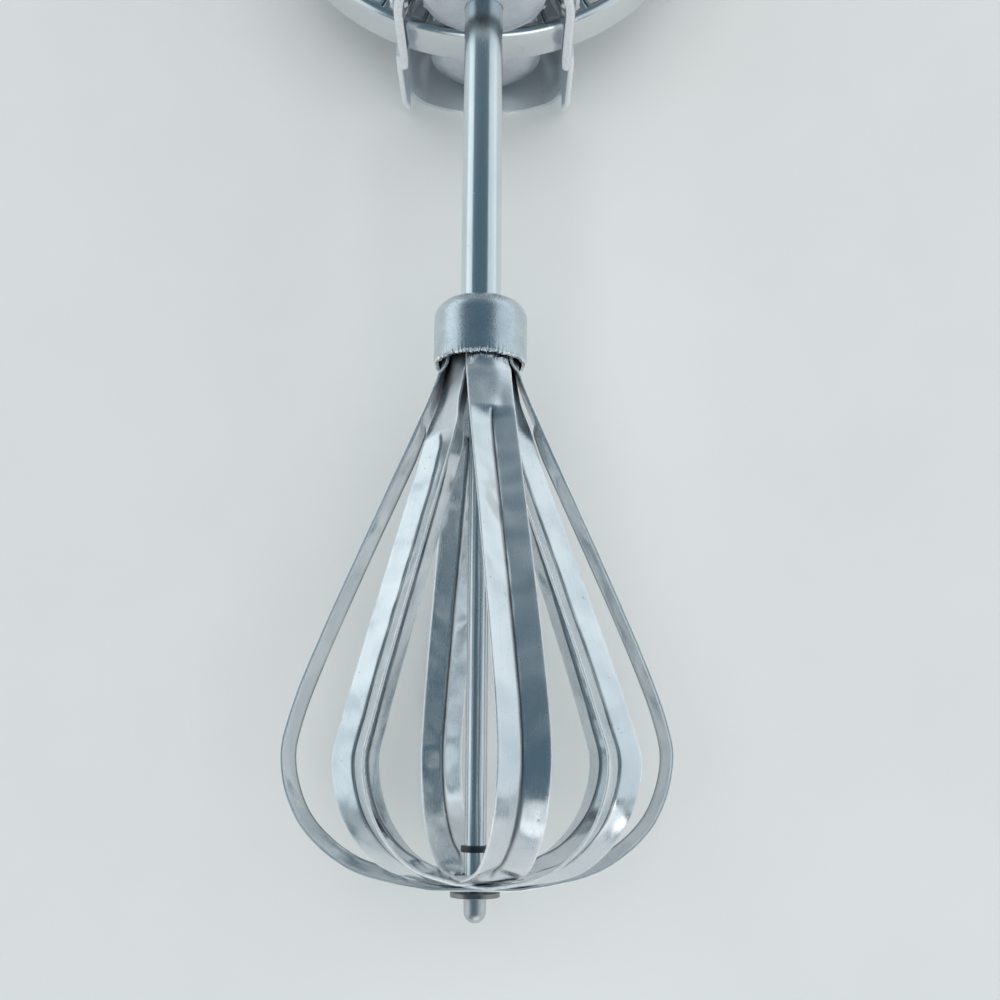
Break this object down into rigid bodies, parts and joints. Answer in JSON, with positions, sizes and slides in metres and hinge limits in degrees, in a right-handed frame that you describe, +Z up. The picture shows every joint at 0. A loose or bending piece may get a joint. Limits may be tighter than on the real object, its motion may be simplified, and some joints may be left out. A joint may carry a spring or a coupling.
{
  "type": "rotary_egg_beater",
  "caption": "Hand-cranked rotary egg beater, nickel-plated, with V-pressed blade loops, slotted drive wheel, pressed frame and red wooden handle",
  "frame": {"origin": "on the ground under the middle of the bounding box, the beater lying on the flat back of its frame", "axes": "+X to the right with the crank side up and the handle away from the viewer; +Y along the shaft from the whisk to the handle; +Z up, out of the crank side"},
  "size_m": [0.0826, 0.3186, 0.0826],
  "materials": {
    "frame_sheet": "nickel-plated sheet, rubbed and a little dull",
    "blades": "nickel-plated strip, bright edges, light scratches",
    "tube": "polished nickel-plated tube",
    "rod": "polished round wire",
    "cap": "satin plated, finely speckled",
    "wheel": "nickel-plated sheet",
    "crank": "nickel-plated bar",
    "inner_steel": "plain steel with a thin plating",
    "dark_steel": "dark oiled steel",
    "rivets": "peened steel",
    "ferrule": "nickel-plated, turned",
    "red_wood": "turned hardwood with red lacquer"
  },
  "bodies": {
    "frame": {"front_frame": "frame_sheet", "rear_frame": "frame_sheet", "frame_rivet_left": "rivets", "frame_rivet_right": "rivets", "rod_bracket": "inner_steel", "rod_bracket_rivet_1": "rivets", "rod_bracket_rivet_2": "rivets", "idler_bracket": "inner_steel", "idler_bracket_rivet_1": "rivets", "idler_bracket_rivet_2": "rivets", "idler_spindle": "inner_steel", "axle_bush_front": "inner_steel", "axle_bush_rear": "inner_steel", "centre_rod": "rod", "rod_ring": "dark_steel", "rod_nut": "inner_steel", "hub_washer": "dark_steel", "handle_ferrule": "ferrule", "handle_grip": "red_wood", "ferrule_pin": "rivets"},
    "whisk": {"blade_loop_side": "blades", "blade_loop_right": "blades", "blade_loop_left": "blades", "blade_loop_front": "blades", "hub_rivet_1": "rivets", "hub_rivet_2": "rivets", "blade_cap": "cap", "blade_core": "dark_steel", "shaft_tube": "tube", "tube_bush": "dark_steel", "pinion_shield": "cap", "drive_pinion": "inner_steel"},
    "wheel": {"drive_wheel": "wheel", "wheel_hub_front": "inner_steel", "wheel_hub_rear": "inner_steel", "wheel_rivet_1": "rivets", "wheel_rivet_2": "rivets", "wheel_rivet_3": "rivets", "wheel_axle": "inner_steel", "crank_arm": "crank", "knob_pin": "inner_steel"},
    "idler": {"idler_roller": "cap"},
    "knob": {"crank_knob": "red_wood"}
  },
  "joints": [
    {"name": "wheel_spin", "type": "hinge", "parent": "frame", "child": "wheel", "pos_m": [0, 0.0286, 0.0352], "axis": [0, 0, 1], "continuous": true},
    {"name": "whisk_spin", "type": "hinge", "parent": "frame", "child": "whisk", "pos_m": [0, 0, 0.0352], "axis": [0, 1, 0], "continuous": true},
    {"name": "idler_spin", "type": "hinge", "parent": "frame", "child": "idler", "pos_m": [0, -0.0072, 0.0128], "axis": [0, 1, 0], "continuous": true},
    {"name": "knob_spin", "type": "hinge", "parent": "wheel", "child": "knob", "pos_m": [0.017, 0.05804, 0.0652], "axis": [0, 0, 1], "continuous": true}
  ],
  "couplings": [
    {"joint": "whisk_spin", "follows": "wheel_spin", "ratio": -3.3333},
    {"joint": "idler_spin", "follows": "wheel_spin", "ratio": 3.0755}
  ]
}
